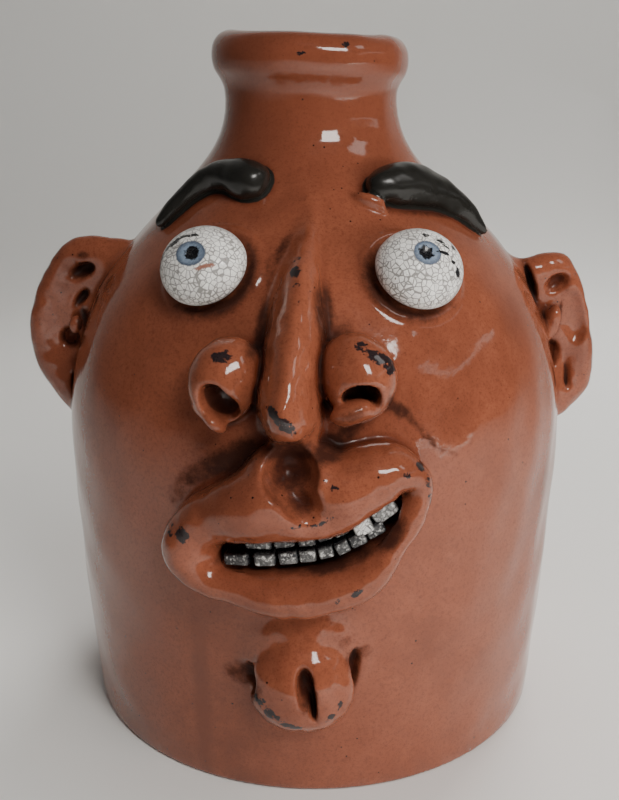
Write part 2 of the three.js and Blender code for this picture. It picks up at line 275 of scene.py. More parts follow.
eyes = {
    "left": {"place": (-29.3, 149.5), "iris": (1.1, -1.3)},
    "right": {"place": (26.6, 149.0), "iris": (-1.8, 0.0)},
    "lift": 3.4, "side": 12.6, "rise": 11.6, "front": 9.6, "back": 5.6, "rimPlaces": 24,
    "socketGap": 1.4, "seat": 0.3, "socketFillet": 2.0, "rimReach": 1.8, "rimThick": 0.9, "rimFillet": 2.0,
}
# Coils and ridges are places along them: degrees, height, half width and, where it differs, rise.
# Lumps are degrees, height, lift, half-sizes round, up and out, and a turn and a tip where they have one.
brows = {
    "left": [(-20, 170.6, 5.6, 5.2), (-28.5, 171.2, 6.2, 5.8), (-39, 172.1, 5.2, 5), (-50, 170.8, 4.2, 4.2),
             (-58.6, 165.8, 3.6, 3.4), (-61.5, 157, 3, 2.6)],
    "right": [(21.8, 168.8, 4.2, 4.4), (31, 169.8, 6.2, 5.4), (43, 169.4, 6.9, 5.6), (54, 167.2, 6, 5.2),
              (62, 162, 3.6, 4), (66.5, 154.5, 1.2, 1.6)],
    "lift": 2.0, "blunt": 6, "fillet": 0.9, "bareFillet": 1.4,
    "bare": [(21.4, 166.8, 0.2, (5.2, 1.7, 2.6), -0.66)],     # not painted
}
nose = {
    "ridge": [(-3.4, 168, 3.2, -1.2), (-3.9, 160, 4.4, 2.2), (-4.6, 151, 5.8, 6.4), (-4.9, 143, 7.2, 10),
              (-5.1, 134.8, 8.2, 13.6), (-5.3, 125.5, 8.8, 17.6), (-5.4, 117, 9.2, 20.4),
              (-5.2, 110.2, 8.8, 20.8)],
    "start": 0.02, "tip": 0.1, "slant": 0.16, "square": 1.1, "crest": (1.8, 0.4), "crestFrom": 0.5,
    "bury": 4, "fillet": 2.4,
}
nostrils = {
    "left": {
        "pellet": (-17.6, 124.6, 4.2, (9.6, 11.8, 10.4), -0.3),
        "facet": (-20, 113.5, 20.5, (13, 11, 9), -0.3),
        "hole": (-16.6, 117.8, 12, (6.8, 4.4, 10), -1.1, 0.35),
        "lip": (-18.4, 115, 6.2, (4.2, 2.0, 4.2), -0.75),
    },
    "right": {
        "pellet": (8.2, 126.2, 4.2, (9.8, 11.4, 10.4), 0.3),
        "facet": (9.6, 114.4, 20.0, (13, 10.4, 9), 0.35),
        "hole": (7.8, 120.2, 11.6, (5.2, 4.6, 10), 0.3, 0.5),
        "lip": (6.3, 118, 7.0, (5.8, 3.0, 4.8), 0.22),
    },
    "fillet": 1.8, "facetFillet": 1.6, "holeFillet": 1.0, "lipFillet": 1.2,
}
lips = {
    "ring": [(-23, 80.5, 8), (-20.8, 87.8, 7.4), (-16, 91.8, 7.8), (-10.5, 94, 8.8), (-4, 95.8, 10.2),
             (2.7, 97.4, 10), (8.6, 101.2, 8.6), (13.8, 103.2, 7.4), (17.7, 100.4, 4.6), (16.8, 92.6, 4.2),
             (13.2, 83.8, 4.3), (8.6, 75.4, 6), (-1, 70.4, 6.6), (-8, 70.2, 6.5), (-13.4, 71.6, 5.6),
             (-19, 73.6, 6)],
    "lift": 4.4, "rise": 5.2, "risePerWidth": 0.6, "fillet": 2.4,
    "bridge": [(-4.3, 102.5, 3.4, (12, 9.6, 11.4))], "bridgeFillet": 4.0,
    "philtrum": [(-4.0, 105.4, 15.4, (7.4, 7.8, 11.6), 0.1), (-3.5, 101, 16.4, (4.8, 8.6, 9.2), 0.6)],
    "philtrumFillet": 1.0, "lobe": [(-9.6, 96.4, 6.2, (13.5, 8.8, 11), 0.48)], "lobeFillet": 4.0,
    "valley": [(0.4, 94.5, 19.6, (6, 9, 6), 0.35)], "valleyFillet": 4.5,
}
mouth = {
    "line": [(-17.6, 81), (-10, 81.8), (-3.6, 83), (1.4, 84.4), (5.6, 86.8), (10.4, 90.4), (16, 95.8)],
    "above": 4.2, "below": -5.6, "front": 7.6, "root": -2.0, "blunt": 12, "fillet": 0.8,
}
chin = {
    "ball": [(-2.6, 37.6, 2.2, (14.8, 12.4, 9.4))],
    "brow": [(-2, 46, -4.5, (15, 14, 9))], "browFillet": 7.0,
    "cleft": [(-1.9, 43.8, 12, (3.0, 6.4, 6.8), 0.12), (-0.7, 39, 12, (1.5, 6.8, 6.4), 0.16)],
    "dent": [(-13.2, 40.4, 3.2, (5, 3.6, 4.4), -0.35), (7.4, 42.4, 0.9, (1.3, 7.4, 2.1), -0.15)],
    "ballFillet": 1.4, "cleftFillet": 0.9, "dentFillet": 2.4,
}
# Ear places are the distance from the axis and the height; hollows have half-sizes across, deep and tall
ears = {
    "middle": (76, 124), "inner": 60, "plane": -3, "sweepBack": 0.16, "rim": 5.6, "dish": 2.8,
    "rimShare": (0.35, 0.85), "rimBlunt": 6, "back": 4.6, "faceDepth": 6, "columns": 160, "rows": 121,
    -1: {"outline": [(56, 149), (65, 152.2), (74.5, 152), (81.4, 147.2), (87.6, 138), (92, 125),
                     (92.4, 115.5), (89, 106), (79.2, 94.8), (70, 106), (60, 128)],
         "hollows": [((73.4, 141.6), (5.2, 6.4, 2.8), -0.45), ((78, 138), (4.6, 2.8, 8), 0.3),
                     ((74.3, 132.7), (4.4, 6, 1.6), -0.89), ((79, 119.6), (3.6, 6.4, 3.8), 0),
                     ((75.4, 125), (3.4, 5.4, 5.6), 0.2), ((78.6, 104.4), (0.8, 6, 4.2), 0)],
         "pellets": [((76, 124.8), (2.2, 2.8, 3.2), 0.2)],
         # painted shade in the hollows and slits, with a dark spot of staining at the top
         "smears": [(73.4, 141.4, 4.4, 2, -0.4, 0.9), (74.3, 132.7, 3.6, 1.2, -0.89, 1),
                    (79, 119.6, 2.8, 3, 0, 1), (74, 125.6, 1, 4, 0, 0.9), (79.6, 139, 3, 7, 0.2, 0.35),
                    (78.6, 104, 0.6, 4, 0, 0.9), (72.3, 147, 1.8, 1.4, 0, 0.8)]},
    1: {"outline": [(56, 144), (66, 145.4), (73, 147), (79.8, 146.4), (84.6, 139.6), (88.6, 126.5),
                    (91.8, 111), (91, 102.6), (86, 96), (79.2, 92.8), (70, 106), (60, 128)],
        "hollows": [((76.8, 137.6), (4.4, 4.4, 3), 0.6), ((76.6, 126.4), (3.4, 4.6, 6.8), -0.08),
                    ((76.4, 114.4), (3.2, 6.4, 5.2), -0.15), ((82, 108.4), (1.3, 3.8, 6), 0.1),
                    ((83, 126.4), (5.2, 3.6, 9), 0.1), ((85, 122), (2.8, 3.6, 4.4), -0.3),
                    ((68, 138.4), (1.5, 5.4, 9), 0.34)],
        "pellets": [((76, 126), (2.2, 3.0, 5.4), -0.08)],
        # painted shade in the hollows, the groove and the crease by the head
        "smears": [(76.8, 137.6, 3.8, 2.2, 0.6, 0.5), (78.6, 126.4, 0.8, 5.4, -0.08, 0.8),
                   (76.4, 114.6, 2, 4.6, -0.1, 0.9), (82, 108.4, 0.9, 5, 0.1, 0.5),
                   (68, 138, 1.6, 9, 0.34, 0.8)]},
    "fillet": 2.6, "hollowFillet": 1.2, "pelletFillet": 3.0,
}


# Oval coil whose section closes at both ends
def browSkin(places):
    def section(sizes, angle, share):
        end = np.sqrt(np.maximum(0, 1 - (2 * share - 1) ** brows["blunt"]))
        return sizes[0] * end * np.cos(angle), brows["lift"] + sizes[1] * end * np.sin(angle)
    return swept(places, section, steps=160)


# Wedge that widens and rises out of the wall. Its crest runs from the right to the middle,
# and its tip is cut off at a slant on the left.
def noseSkin():
    def section(sizes, angle, share):
        cut = nose["tip"] + nose["slant"] * (1 - np.cos(angle)) / 2
        tip = np.maximum(0, (share - 1 + cut) / cut)
        high, low = nose["crest"]
        crest = high + (low - high) * smoothStep(share, nose["crestFrom"], 1)
        end = np.minimum(np.sqrt(np.maximum(0, 1 - tip ** 2)), share / nose["start"])
        rise = np.maximum(0, np.sin(angle)) ** nose["square"]
        across = sizes[0] * end * np.sign(np.cos(angle)) * np.abs(np.cos(angle)) ** nose["square"]
        return across + crest * end * rise, (sizes[1] + nose["bury"]) * end * rise - nose["bury"] * end
    return swept(nose["ridge"], section, steps=200, sides=96)


# Ring of an oval section round the mouth
def lipSkin():
    def section(sizes, angle, share):
        rise = lips["rise"] + lips["risePerWidth"] * sizes[0]
        return sizes[0] * np.cos(angle), lips["lift"] + rise * np.sin(angle)
    return swept(lips["ring"], section, steps=320, sides=64, closed=True)


# Slot between the lips: a box section along the mouth line
def mouthSkin():
    def section(sizes, angle, share):
        end = np.sqrt(np.maximum(0, 1 - (2 * share - 1) ** mouth["blunt"]))
        square = end / np.maximum(np.abs(np.cos(angle)), np.abs(np.sin(angle)))
        above, below, front, root = (mouth[name] for name in ("above", "below", "front", "root"))
        return ((above + below) / 2 + (above - below) / 2 * square * np.cos(angle),
                (front + root) / 2 + (front - root) / 2 * square * np.sin(angle))
    return swept(mouth["line"], section, steps=120)


# Eyeball: a dome in front and a flatter dome in the socket
def eyeSkin(eye, grown=0.0, deeper=0.0, rows=64, columns=96):
    x, y, z = ballGrid(rows, columns)
    x = (eyes["side"] + grown) * x
    y = (eyes["rise"] + grown) * y
    z = np.where(z > 0, eyes["front"] + grown, eyes["back"] + deeper) * z
    return offSpot(onWall(*eye["place"], eyes["lift"]), x, y, z)


# Clay pushed up round an eye: a thin round coil that follows the wall along the eye's oval
def eyeRimSkin(eye):
    point, around, up, _ = onWall(*eye["place"])
    angle = np.linspace(0, 2 * np.pi, eyes["rimPlaces"], endpoint=False)[:, None]
    oval = point + (eyes["side"] + eyes["rimReach"]) * np.cos(angle) * around
    oval = oval + (eyes["rise"] + eyes["rimReach"]) * np.sin(angle) * up
    places = np.stack([np.degrees(np.arctan2(oval[:, 0], -oval[:, 1])), oval[:, 2], 0 * oval[:, 2]], -1)
    def section(sizes, angle, share):
        return eyes["rimThick"] * np.cos(angle) + 0 * share, eyes["rimThick"] * np.sin(angle) + 0 * share
    return swept(places, section, steps=160, sides=24, closed=True)


# Dished pad with a rolled rim: its outline is filled from the middle out on the front and on the back
def earSkin(hand):
    outline = spline(ears[hand]["outline"], ears["columns"], closed=True)
    v = np.linspace(0, 1, ears["rows"])[:, None]
    reach = np.sin(v * np.pi)
    across, tall = ears["middle"]
    out = across + (outline[:, 0] - across) * reach
    height = tall + (outline[:, 1] - tall) * reach
    front = ears["dish"] + (ears["rim"] - ears["dish"]) * smoothStep(reach, *ears["rimShare"])
    front = front * np.sqrt(np.maximum(0, 1 - reach ** ears["rimBlunt"]))
    depth = np.where(v < 0.5, front, -ears["back"] * np.sqrt(np.maximum(0, 1 - reach ** 2)))
    y = ears["plane"] - depth + (out - across) * ears["sweepBack"]
    return np.stack([hand * out, y, height], -1)


# Ball on the face of an ear, turned in the ear's plane
def earBall(hand, place, size, turn):
    x, y, z = (half * part for half, part in zip(size, ballGrid()))
    x, z = turned(x, z, turn)
    face = ears["plane"] - ears["rim"] + (place[0] - ears["middle"][0]) * ears["sweepBack"]
    return np.stack([hand * (x + place[0]), y + face, z + place[1]], -1)


# Works the named lumps of a piece into the clay, each with the fillet of its name
def workLumps(how, body, piece, *names):
    for name in names:
        for row in piece[name]:
            how(body, lump(*row), piece[name + "Fillet"])


# All the clay in the order of the potter's work, with the fields of the painted brows, of the nostrils' holes
# and of the vessel alone
def shapeClay():
    body = np.full(cellCount, farOff, np.float32)
    stickOn(body, vesselSkin(), jug["skinFillet"])
    vessel = body.copy()
    for hand in (-1, 1):
        stickOn(body, earSkin(hand), ears["fillet"])
        for row in ears[hand]["hollows"]:
            pressOut(body, earBall(hand, *row), ears["hollowFillet"])
        for row in ears[hand]["pellets"]:
            stickOn(body, earBall(hand, *row), ears["pelletFillet"])
    stickOn(body, noseSkin(), nose["fillet"])
    paint = np.full(cellCount, farOff, np.float32)
    holes = np.full(cellCount, farOff, np.float32)
    for side in ("left", "right"):
        wing = nostrils[side]
        stickOn(body, lump(*wing["pellet"]), nostrils["fillet"])
        pressOut(body, lump(*wing["facet"]), nostrils["facetFillet"])
        field, place = pressOut(body, lump(*wing["hole"]), nostrils["holeFillet"])
        holes[place] = np.minimum(holes[place], field)
        stickOn(body, lump(*wing["lip"]), nostrils["lipFillet"])
        field, place = stickOn(body, browSkin(brows[side]), brows["fillet"])
        paint[place] = np.minimum(paint[place], field)
    workLumps(stickOn, body, brows, "bare")
    stickOn(body, lipSkin(), lips["fillet"], ring=True)
    workLumps(stickOn, body, lips, "bridge", "lobe")
    workLumps(pressOut, body, lips, "philtrum", "valley")
    workLumps(stickOn, body, chin, "ball", "brow")
    workLumps(pressOut, body, chin, "cleft", "dent")
    for side in ("left", "right"):
        stickOn(body, eyeRimSkin(eyes[side]), eyes["rimFillet"], ring=True)
        pressOut(body, eyeSkin(eyes[side], eyes["socketGap"], eyes["seat"]), eyes["socketFillet"])
    pressOut(body, mouthSkin(), mouth["fillet"])
    pressOut(body, cavitySkin(), jug["boreFillet"])
    return body, paint, holes, vessel


body, paintField, holeField, vesselField = shapeClay()
print("clay worked in", body.shape, "cells")


# Mean of a field over a cube of cells, by running sums along each axis
def boxMean(field, reach):
    for axis in range(3):
        edge = [(reach + 1, reach) if a == axis else (0, 0) for a in range(3)]
        total = np.cumsum(np.pad(field, edge, mode="edge"), axis=axis, dtype=np.float32)
        width = 2 * reach + 1
        high = np.take(total, np.arange(width, total.shape[axis]), axis=axis)
        low = np.take(total, np.arange(0, total.shape[axis] - width), axis=axis)
        field = (high - low) / width
    return field


# New object in the scene that holds this data
def newObject(name, data):
    thing = bpy.data.objects.new(name, data)
    bpy.context.scene.collection.objects.link(thing)
    return thing


# Puts points in millimetres and faces of three or four corners into a new mesh piece
def meshPiece(name, points, *faceSets):
    mesh = bpy.data.meshes.new(name)
    faceSets = [faces for faces in faceSets if len(faces)]
    corners = np.concatenate([faces.ravel() for faces in faceSets])
    sizes = np.concatenate([np.full(len(faces), faces.shape[1]) for faces in faceSets])
    mesh.vertices.add(len(points))
    mesh.vertices.foreach_set("co", np.ascontiguousarray(points * mm, np.float32).ravel())
    mesh.loops.add(len(corners))
    mesh.loops.foreach_set("vertex_index", corners.astype(np.int32))
    mesh.polygons.add(len(sizes))
    mesh.polygons.foreach_set("loop_start", (np.cumsum(sizes) - sizes).astype(np.int32))
    mesh.update(calc_edges=True)
    mesh.shade_smooth()
    return newObject(name, mesh)


# Piece from a ball's grid: the doubled points at its poles are merged and its faces turned outwards
def ballPiece(name, skin):
    piece = meshPiece(name, skin.reshape(-1, 3), gridFaces(*skin.shape[:2]))
    shape = bmesh.new()
    shape.from_mesh(piece.data)
    bmesh.ops.remove_doubles(shape, verts=shape.verts, dist=poleGap)
    bmesh.ops.recalc_face_normals(shape, faces=shape.faces)
    shape.to_mesh(piece.data)
    shape.free()
    piece.data.shade_smooth()
    return piece


# Gives the points of a mesh a value each, under every name that is given
def setAttributes(mesh, **named):
    for name, values in named.items():
        layer = mesh.attributes.new(name, "FLOAT", "POINT")
        layer.data.foreach_set("value", np.ascontiguousarray(values, np.float32))


# Points of a mesh in millimetres
def pointsOf(mesh):
    flat = np.empty(len(mesh.vertices) * 3, np.float32)
    mesh.vertices.foreach_get("co", flat)
    return flat.reshape(-1, 3).astype(float) / mm


# Unevenness of hand-worked clay: slow all over, and shorter where clay was stuck on and thumbed
unevenness = {
    "slow": {"seed": 11, "waves": 14, "length": (14, 46), "height": 0.24},
    "thumbed": {"seed": 12, "waves": 30, "length": (4, 12), "height": 0.15},
    "near": 2.5, "standing": (2, 12), "stuckOn": (0.4, 2.4),
}


# Sum of sine waves that run in seeded directions, with seeded lengths and phases
def wobble(points, seed, waves, length, height):
    dice = np.random.default_rng(seed)
    way = dice.normal(size=(waves, 3))
    way /= np.linalg.norm(way, axis=1)[:, None]
    turns = (way * 2 * np.pi / dice.uniform(*length, waves)[:, None]).astype(np.float32)
    phase = dice.uniform(0, 2 * np.pi, waves).astype(np.float32)
    total = np.zeros(len(points), np.float32)
    for k in range(waves):
        total += np.sin(points @ turns[k] + phase[k])
    return total * np.float32(height / math.sqrt(waves))


# Moves the surface of the clay by the waves; the foot stays flat
def roughenClay():
    near = np.nonzero(np.abs(body) < unevenness["near"])
    points = ((np.stack(near, -1) + firstCell) * clay["cell"]).astype(np.float32)
    standing = smoothStep(points[:, 2], *unevenness["standing"])
    stuckOn = smoothStep(vesselField[near], *unevenness["stuckOn"])
    body[near] += wobble(points, **unevenness["slow"]) * standing.astype(np.float32)
    body[near] += wobble(points, **unevenness["thumbed"]) * stuckOn.astype(np.float32)


roughenClay()
print("clay roughened by hand")

# Black flakes and soft smudges in the glaze, the smudges partly staining and partly painted shade in creases
# and
# hollows: degrees, height, lift, half length, half width, turn, strength
stainsAndShade = {
    "flakes": [
        (-16.3, 128.8, 13, 2.2, 1.5, 0.2, 1), (-21, 128, 9, 0.8, 0.5, 0, 0.5),
        (7.7, 131.6, 13, 1.2, 1.2, 0.6, 0.8), (11, 129, 12, 3.6, 1.3, -0.35, 1),
        (12.6, 127, 11, 1.5, 1.4, -0.8, 1), (-6.4, 118.4, 21, 2, 1, -0.7, 1),
        (-4.7, 116.2, 21, 2.6, 1.3, -0.75, 1), (-4.6, 151.3, 6, 1.3, 0.8, 0.3, 0.6),
        (-4.5, 147.9, 7, 1.4, 1.7, 0, 0.9), (-4.2, 144.6, 8, 0.9, 0.9, 0, 0.6),
        (-3.6, 140.9, 9, 0.7, 2, 0, 0.4), (-22, 87.8, 11, 1.9, 1.7, 0, 0.95),
        (-24.9, 87.6, 9, 1.8, 1.6, 0, 0.45), (-3.1, 93.2, 14, 3, 0.4, 0.1, 0.6),
        (0, 93, 14, 2.6, 0.4, 0.2, 0.8), (2.3, 94.7, 14, 1.2, 0.8, 0.2, 0.5),
        (17.6, 105, 9, 1.5, 0.9, -0.3, 0.8), (18.4, 101.4, 8, 0.9, 1.6, 0, 0.6),
        (19.1, 97.4, 7, 1, 2.2, 0, 0.5), (14.3, 104.2, 11, 1.4, 0.8, 0, 0.6),
        (6.7, 74.5, 12, 2, 0.8, 0.4, 0.8), (3.6, 72.2, 12, 0.8, 0.6, 0, 0.6),
        (2.9, 102.1, 15, 0.9, 0.6, 0.5, 0.6), (-10, 38.2, 7, 1.8, 1.4, -0.5, 0.6),
        (-7.9, 34.8, 9, 3, 1.4, -0.6, 0.8), (-4.6, 31.8, 9, 3.2, 1, -0.25, 0.8),
        (17.5, 209, 3, 0.8, 0.7, 0, 0.75), (-17, 206.4, 3, 1.2, 0.6, 0, 0.4),
        (-8, 206.6, 3, 1.4, 0.6, 0.3, 0.4), (4.7, 37.4, 8, 0.9, 1.3, 0, 0.6),
        (2.7, 34, 9, 1.6, 1.1, 0.6, 0.7),
    ],
    "runs": [(-25.4, 24, 0, 2.4, 24, 0, 0.7), (-24.4, 44, 0, 1.6, 8, 0, 0.5)],
    "smears": [
        # painted shade: in the mouth below the teeth, in the hollow under the nose, along the nose's sides,
        # round the chin ball and in its cleft
        (14.1, 119.5, 1, 3, 2, -0.5, 0.9), (16.9, 117.5, 1, 3.4, 1.6, -0.6, 1),
        (20.2, 113.2, 1, 4, 1.2, -0.8, 0.7), (23, 108.6, 1, 4, 1, -0.8, 0.7),
        (27, 104.8, 1, 4, 1, -0.5, 0.5), (-17.5, 103.9, 1, 9, 3.6, 0.4, 0.9),
        (-23.7, 99.2, 1, 8, 3, 0.6, 0.7), (-13.5, 107.7, 1, 5, 3, 0.2, 0.9),
        (-28.3, 92.4, 1, 5, 2.4, 0.9, 0.5), (2.6, 109.5, 3, 5, 3, 0.3, 0.9),
        (6.3, 113.1, 3, 4, 2.6, 0.5, 0.8), (6.2, 117.6, 8, 4, 1.8, 0.25, 0.6),
        (-9.6, 156.4, 1, 6, 1.4, 1.35, 0.7), (48, 163.4, 1, 14, 2, -0.25, 0.7),
        (14.6, 150.7, 1, 3, 8, 0.1, 0.35), (1.6, 139, 1, 2, 6, 0, 0.5), (3.1, 136.2, 1, 4, 3, 0, 0.5),
        (6, 52.8, 0, 3, 2, 0.5, 0.4), (9.6, 48.2, 0, 3.4, 2.6, 0.4, 0.5), (-15.9, 39, 0, 5, 3, -0.4, 0.6),
        (-21.9, 58.7, 0, 8, 3, -0.3, 0.25), (-4.6, 109, 10, 7, 3.4, 0, 0.9),
        (-13.2, 40.4, 2, 5, 3.6, -0.4, 0.8), (7.6, 46.8, 1, 2.2, 3.4, 0.5, 0.7),
        (8.2, 41, 1, 1.3, 5, 0, 0.6), (-12, 150, 0, 1.5, 7, 0.15, 0.5), (-12, 137, 0, 1.8, 9, 0, 0.9),
        (1.3, 141, 0, 2, 8, 0, 0.8), (-4.4, 104, 8, 5.4, 6.4, 0, 0.75), (-3, 98.6, 9, 3.2, 5, 0.5, 0.7),
        (-14, 78.6, 3, 5, 1.4, -0.1, 1), (-6, 78, 3, 7, 1.4, 0, 1), (2, 79, 3, 7, 1.4, 0.2, 1),
        (8.6, 84.4, 3, 6, 2, 0.8, 1), (12.4, 88, 3, 5, 2.4, 0.85, 0.9), (-1.5, 42, 5, 2.4, 6, 0.1, 0.75),
        (6, 137.4, 0, 3.6, 4, 0, 0.55), (2.5, 142, 1, 2, 8, 0, 0.8),
    ],
    "fade": 1.6, "depth": 9.0, "smearAndShadeDepth": 16.0,
}


# Oval mark, used both for staining and for painted shade: its strength in the middle, falling evenly to
# nothing past the edge
def ovalStainAndShade(x, y, along, across, turn, strength):
    x, y = turned(x, y, -turn)
    return strength * np.clip(stainsAndShade["fade"] - np.hypot(x / along, y / across), 0, 1)


# Strongest of a list of dark marks, staining and painted shade, on the wall at each point, within a depth in
# and out of their places
def stainAndShadeAt(points, spots, depth=stainsAndShade["depth"]):
    def spotStainAndShade(degrees, height, lift, *oval):
        x, y, z = partsAt(onWall(degrees, height, lift), points)
        return ovalStainAndShade(x, y, *oval) * (np.abs(z) < depth)
    return np.max([spotStainAndShade(*spot) for spot in spots], axis=0)


# The same on a flat face, from places across and up
def flatStainAndShade(x, y, spots):
    return np.max([ovalStainAndShade(x - atX, y - atY, *oval) for atX, atY, *oval in spots], axis=0, initial=0)


# Painted shade round an eye, partly standing for pooled glaze: a ring just outside its outline, strongest on
# the side that is given
socketShade = {
    "left": (0.8, -0.6), "right": (-0.85, -0.5), "reach": 3.0, "depth": 12, "base": 0.5, "lean": 0.5,
}


# The ring falls off with the square of the way past the eye's outline
def socketShadeAt(points):
    strongest = np.zeros(len(points))
    for side in ("left", "right"):
        x, y, z = partsAt(onWall(*eyes[side]["place"]), points)
        away = np.hypot(x, y)
        past = away * (1 - 1 / np.maximum(tiny, np.hypot(x / eyes["side"], y / eyes["rise"])))
        lean = (x * socketShade[side][0] + y * socketShade[side][1]) / np.maximum(away, tiny)
        ring = np.exp(-(past / socketShade["reach"]) ** 2) * (np.abs(z) < socketShade["depth"])
        strongest = np.maximum(strongest, ring * (socketShade["base"] + socketShade["lean"] * lean))
    return strongest


redGlaze = {
    "deep": (0.146, 0.041, 0.021, 1), "clay": (0.245, 0.071, 0.036, 1), "bright": (0.345, 0.110, 0.058, 1),
    # the pooled colours darken creases and hollows as pooled glaze and as painted shade; the smudge colour
    # darkens specks, staining and painted shade
    "poolAndShade": (0.012, 0.005, 0.004, 1), "pooledRedAndShade": (0.075, 0.014, 0.006, 1),
    "flake": (0.010, 0.010, 0.012, 1), "smear": (0.022, 0.010, 0.008, 1),
    "dark": (0.08, 0.022, 0.010, 1), "brow": (0.013, 0.012, 0.010, 1),
    "neckFrom": (160, 190), "neckDepth": 0.6, "creaseCells": 2, "hollowCells": 5, "refraction": 1.52,
}


# Fewer faces where the form is plain: first inside and behind, then over the whole piece
thinning = {"facedDegrees": 115, "faceLow": 10, "plainFaces": 36000, "allFaces": 196000}


# Brings a piece down to about this many triangles by collapsing edges, in a group of points or all over
def collapseFaces(piece, faces, group=""):
    piece.data.calc_loop_triangles()
    modifier = piece.modifiers.new("thin", "DECIMATE")
    modifier.ratio = min(1, faces / len(piece.data.loop_triangles))
    modifier.vertex_group = group
    modifier.use_collapse_triangulate = True
    thinned = bpy.data.meshes.new_from_object(piece.evaluated_get(bpy.context.evaluated_depsgraph_get()))
    piece.modifiers.remove(modifier)
    piece.data = thinned


# The clay's surface as one mesh, thinned, with what the glaze reads at each point
def buildJug():
    volume = vdb.FloatGrid(farOff)
    volume.copyFromArray(body, ijk=tuple(int(i) for i in firstCell))
    volume.transform = cellGrid
    points, triangles, quads = volume.convertToPolygons(0.0, 0.0)
    piece = meshPiece("jug", points, quads, triangles)
    bearing = np.abs(np.degrees(np.arctan2(points[:, 0], -points[:, 1])))
    wallRadius = np.interp(points[:, 2], wallCurve[:, 1], wallCurve[:, 0])
    within = np.hypot(points[:, 0], points[:, 1]) < wallRadius - jug["wall"] / 2
    plain = (bearing > thinning["facedDegrees"]) | within | (points[:, 2] < thinning["faceLow"])
    piece.vertex_groups.new(name="plain").add(np.nonzero(plain)[0].tolist(), 1.0, "REPLACE")
    collapseFaces(piece, 2 * int((~plain).sum()) + thinning["plainFaces"], "plain")
    piece.vertex_groups.clear()
    collapseFaces(piece, thinning["allFaces"])
    mesh = piece.data
    points = pointsOf(mesh)
    # normals from the slope of the distance field, so that the glaze mirrors an even surface
    steps = np.eye(3) * clay["cell"]
    slope = [sampled(body, points + step, 0) - sampled(body, points - step, 0) for step in steps]
    slope = np.stack(slope, -1)
    slope /= np.maximum(np.linalg.norm(slope, axis=1), tiny)[:, None]
    mesh.normals_split_custom_set_from_vertices(slope.tolist())
    filled = smoothStep(-body, -clay["skin"], clay["skin"]).astype(np.float32)
    # smudges of staining and painted shade, with the painted shade round the eyes
    smears = np.maximum(stainAndShadeAt(points, stainsAndShade["smears"], stainsAndShade["smearAndShadeDepth"]), socketShadeAt(points))
    x, y, z = points.T
    # and painted shade in the ears' hollows and slits
    for hand in (-1, 1):
        onEar = (np.abs(y - ears["plane"] + ears["rim"]) < ears["faceDepth"]) & (hand * x > ears["inner"])
        smears = np.maximum(smears, flatStainAndShade(hand * x, z, ears[hand]["smears"]) * onEar)
    # the glaze is deeper in colour up the neck, and deeper still in a few runs of heavier glaze
    thick = redGlaze["neckDepth"] * smoothStep(z, *redGlaze["neckFrom"])
    setAttributes(
        mesh, crease=sampled(boxMean(filled, redGlaze["creaseCells"]), points, 0.5),
        hollow=sampled(boxMean(filled, redGlaze["hollowCells"]), points, 0.5),
        paint=sampled(paintField, points, farOff), hole=np.abs(sampled(holeField, points, farOff)),
        flakes=stainAndShadeAt(points, stainsAndShade["flakes"]), smears=smears,
        thick=np.maximum(thick, stainAndShadeAt(points, stainsAndShade["runs"])))
    print("jug:", len(mesh.polygons), "faces")
    return piece


jugPiece = buildJug()


# Marks on an eyeball are places across and up from the eye's middle, with half-sizes, turn and strength
eyeMarks = {
    "left": {
        "flakes": [(-5, -7, 6, 2.6, -0.3, 0.16), (-5.7, 2, 1.9, 1.1, 0.9, 1), (-3.4, 3.4, 1.3, 0.6, 0.4, 1),
                   (-0.8, 4.2, 2, 0.55, 0.2, 1), (-8, 0.4, 1.3, 0.9, 1, 1), (-9.6, -1.4, 1.4, 1, 1.2, 1),
                   (-10.2, -3.6, 1, 0.8, 1, 0.8)],
        "rust": [(6, -4, 2.4, 0.5, 0.55, 1), (4.4, -5, 1, 0.3, 0.3, 0.8)],
        "iris": (4.4, 3.6), "pupil": (0.5, 0.2)},
    "right": {
        "flakes": [(-8.8, -2, 3.4, 6.5, 0.2, 0.22), (7.8, 1.6, 0.8, 0.8, 0, 1), (0.2, 5.7, 0.9, 0.7, 0, 1),
                   (6.6, -5.4, 0.8, 1.2, 0, 1), (2.8, -0.6, 2, 0.5, -0.3, 1), (3.4, 3.2, 1.2, 0.5, -0.5, 1),
                   (5.4, -3, 0.8, 0.5, 0, 0.9), (4.6, 1.4, 1.2, 0.4, -0.6, 0.9)],
        "rust": [], "iris": (3.8, 3.6), "pupil": (-0.3, 0.2)},
    "dimple": 1.0, "pupilReach": 2.0, "far": 9.0, "rows": 121, "columns": 180,
}


# Eyeball with the eye's own shape, a ring for the iris and a dimple pricked in as the pupil
def buildEye(side):
    eye, look = eyes[side], eyeMarks[side]
    spot = onWall(*eye["place"], eyes["lift"])
    # way across and up, whether in front, way from the iris in its half-sizes, and way from the pupil
    def marked(points):
        x, y, z = partsAt(spot, points)
        irisX, irisY = x - eye["iris"][0], y - eye["iris"][1]
        iris = np.hypot(irisX / look["iris"][0], irisY / look["iris"][1])
        return x, y, z > 0, iris, np.hypot(irisX - look["pupil"][0], irisY - look["pupil"][1])
    skin = eyeSkin(eye, rows=eyeMarks["rows"], columns=eyeMarks["columns"])
    _, _, front, _, pupil = marked(skin)
    press = eyeMarks["dimple"] * np.exp(-(pupil / eyeMarks["pupilReach"]) ** 2) * front
    skin = skin - press[..., None] * spot[3]
    piece = ballPiece("eye_ball_" + side, skin)
    x, y, front, iris, pupil = marked(pointsOf(piece.data))
    setAttributes(
        piece.data, iris=np.where(front, iris, eyeMarks["far"]),
        pupil=np.where(front, pupil, eyeMarks["far"]),
        flakes=flatStainAndShade(x, y, look["flakes"]) * front, rust=flatStainAndShade(x, y, look["rust"]) * front)
    return piece


eyeBalls = {side: buildEye(side) for side in ("left", "right")}
print("eyes set")

